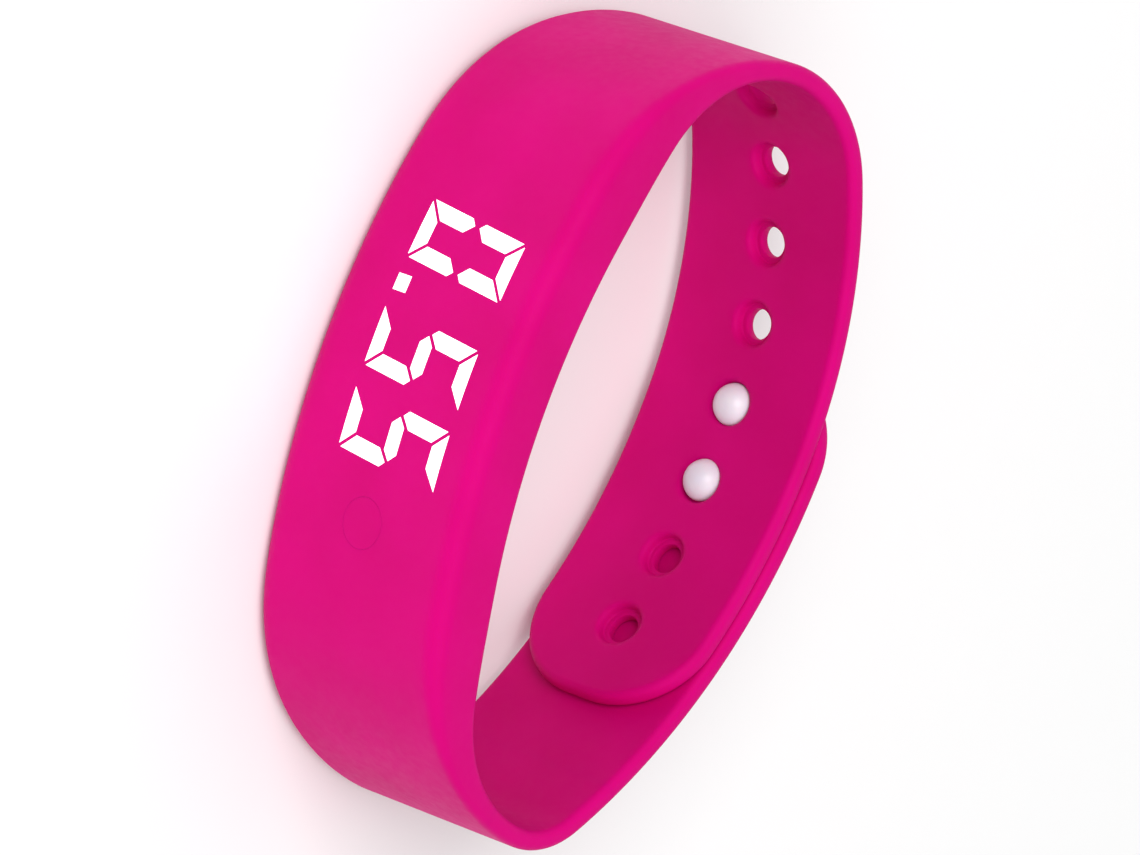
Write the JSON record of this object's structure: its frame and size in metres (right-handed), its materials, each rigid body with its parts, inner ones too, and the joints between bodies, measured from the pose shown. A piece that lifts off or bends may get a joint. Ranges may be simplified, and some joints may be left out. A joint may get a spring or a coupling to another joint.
{
  "type": "fitness tracker band",
  "caption": "Closed silicone wrist band with a thick lit-digit display section, a strap with round holes and a strap with a stud clip.",
  "frame": {"origin": "middle of the underside of the closed band's box, with the band lying on its side edge", "axes": "+X along the loop's long axis in the reading direction of the digits, towards the strap with studs; +Y from the display to the clasp; +Z across the band's width"},
  "size_m": [0.0758, 0.0482, 0.0236],
  "materials": {
    "silicone": "soft matte moulded silicone, hot magenta, slightly translucent",
    "white_plastic": "satin white moulded plastic",
    "black_plastic": "fine matte moulded plastic",
    "frame_plastic": "matte moulded plastic",
    "light_plastic": "milky light-spreading plastic",
    "led": "small moulded lamp packages",
    "board": "green lacquered flexible circuit board",
    "chip": "moulded chip packages",
    "capacitor": "fired ceramic blocks",
    "steel": "bright stamped steel",
    "gasket": "thin moulded rubber seal",
    "film": "thin amber insulating film"
  },
  "bodies": {
    "display_body": {"display_section": "silicone", "module_shell": "black_plastic", "cover_gasket": "gasket", "module_cover": "black_plastic", "cover_screws": "steel", "segment_frame": "frame_plastic", "segment_diffusers": "light_plastic", "segment_leds": "led", "circuit_board": "board", "microcontroller": "chip", "led_driver": "chip", "motion_sensor": "chip", "clock_crystal": "steel", "chip_resistors": "chip", "chip_capacitors": "capacitor", "coin_cell": "steel", "positive_contact": "steel", "negative_contact": "steel", "insulating_film": "film", "tact_switch": "steel"},
    "hole_strap_body": {"hole_strap": "silicone", "hole_webs": "silicone"},
    "peg_strap_body": {"peg_strap": "silicone"},
    "clasp_body": {"peg_strap_end": "silicone", "peg_clip": "white_plastic"},
    "button_body": {"button_pad": "silicone", "button_key": "black_plastic", "switch_plunger": "black_plastic"}
  },
  "joints": [
    {"name": "peg_strap_flex", "type": "hinge", "parent": "display_body", "child": "peg_strap_body", "pos_m": [0.03788, 0.00015, 0], "axis": [0, 0, -1], "range_deg": [0, 90], "stiffness_Nm_per_rad": 0.02},
    {"name": "hole_strap_flex", "type": "hinge", "parent": "display_body", "child": "hole_strap_body", "pos_m": [-0.03784, 0.00015, 0], "axis": [0, 0, 1], "range_deg": [0, 27], "stiffness_Nm_per_rad": 0.02},
    {"name": "clasp_peel", "type": "hinge", "parent": "peg_strap_body", "child": "clasp_body", "pos_m": [0.01924, 0.01794, 0], "axis": [0, 0, -1], "range_deg": [0, 90], "stiffness_Nm_per_rad": 0.01, "deforming": ["hole_webs"]},
    {"name": "button_press", "type": "slide", "parent": "display_body", "child": "button_body", "axis": [-0.1848, 0.9828, 0], "range_m": [0, 0.00025], "stiffness_N_per_m": 1000}
  ],
  "couplings": [
    {"joint": "hole_strap_flex", "follows": "peg_strap_flex", "ratio": 0.3}
  ]
}
